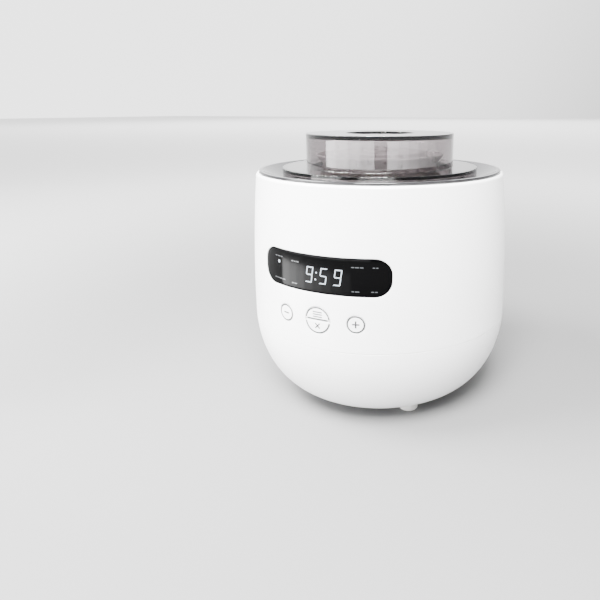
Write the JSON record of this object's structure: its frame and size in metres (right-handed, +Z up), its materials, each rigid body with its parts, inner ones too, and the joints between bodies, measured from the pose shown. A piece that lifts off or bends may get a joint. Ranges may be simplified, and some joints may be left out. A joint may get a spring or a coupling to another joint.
{
  "type": "yogurt maker",
  "caption": "Round countertop yogurt maker: heated housing with a digital front panel and push buttons, a glass jar with a flared cap, and a clear domed cover.",
  "frame": {"origin": "centre of the footprint, on the surface that the feet stand on", "axes": "+Z up, and the front panel faces -Y"},
  "size_m": [0.184, 0.184, 0.1852],
  "materials": {
    "housing_white": "smooth satin-gloss white ABS",
    "foot_rubber": "pale matte rubber",
    "screw_steel": "zinc plated",
    "gland_grey": "matte light grey nylon",
    "deck_smoke": "glossy smoked grey",
    "pot_aluminium": "drawn, satin",
    "silicone_clear": "translucent silicone",
    "heater_silicone": "orange silicone mat",
    "sensor_ceramic": "epoxy coated",
    "spring_steel": "stamped",
    "window_black": "piano black gloss",
    "board_green": "solder mask",
    "component_black": "moulded epoxy",
    "led_white": "diffused lens",
    "board_brown": "phenolic board",
    "relay_blue": "moulded case",
    "terminal_green": "moulded",
    "cable_grey": "flat PVC cable",
    "button_white": "same as the housing",
    "jar_glass": "clear soda-lime glass",
    "cap_frosted": "frosted translucent PP",
    "cover_smoke": "clear smoked AS plastic"
  },
  "bodies": {
    "housing": {"upper_housing": "housing_white", "lower_housing": "housing_white", "feet": "foot_rubber", "housing_screws": "screw_steel", "cord_gland": "gland_grey", "gland_nut": "gland_grey", "deck_ring": "deck_smoke", "heating_pot": "pot_aluminium", "pot_gasket": "silicone_clear", "pot_screws": "screw_steel", "heater_band": "heater_silicone", "ntc_sensor": "sensor_ceramic", "sensor_clip": "spring_steel", "thermal_fuse": "sensor_ceramic", "fuse_clip": "spring_steel", "display_window": "window_black", "display_board": "board_green", "led_module": "component_black", "indicator_leds": "led_white", "tact_switches": "component_black", "display_screws": "screw_steel", "power_board": "board_brown", "relay": "relay_blue", "filter_capacitor": "component_black", "buzzer": "component_black", "terminal_block": "terminal_green", "power_screws": "screw_steel", "signal_cable": "cable_grey"},
    "jar": {"jar": "jar_glass"},
    "jar_cap": {"jar_cap": "cap_frosted", "cap_seal": "silicone_clear"},
    "cover": {"cover": "cover_smoke"},
    "button_minus": {"button_minus": "button_white"},
    "button_menu": {"button_menu": "button_white"},
    "button_cancel": {"button_cancel": "button_white"},
    "button_plus": {"button_plus": "button_white"}
  },
  "joints": [
    {"name": "jar_lift", "type": "slide", "parent": "housing", "child": "jar", "axis": [0, 0, 1], "range_m": [0, 0.16]},
    {"name": "cap_lift", "type": "slide", "parent": "jar", "child": "jar_cap", "axis": [0, 0, 1], "range_m": [0, 0.04]},
    {"name": "cover_lift", "type": "slide", "parent": "jar_cap", "child": "cover", "axis": [0, 0, 1], "range_m": [0, 0.06]},
    {"name": "button_minus_press", "type": "slide", "parent": "housing", "child": "button_minus", "axis": [0, 1, 0], "range_m": [0, 0.0005], "stiffness_N_per_m": 1500},
    {"name": "button_menu_press", "type": "slide", "parent": "housing", "child": "button_menu", "axis": [0, 1, 0], "range_m": [0, 0.0005], "stiffness_N_per_m": 1500},
    {"name": "button_cancel_press", "type": "slide", "parent": "housing", "child": "button_cancel", "axis": [0, 1, 0], "range_m": [0, 0.0005], "stiffness_N_per_m": 1500},
    {"name": "button_plus_press", "type": "slide", "parent": "housing", "child": "button_plus", "axis": [0, 1, 0], "range_m": [0, 0.0005], "stiffness_N_per_m": 1500}
  ]
}
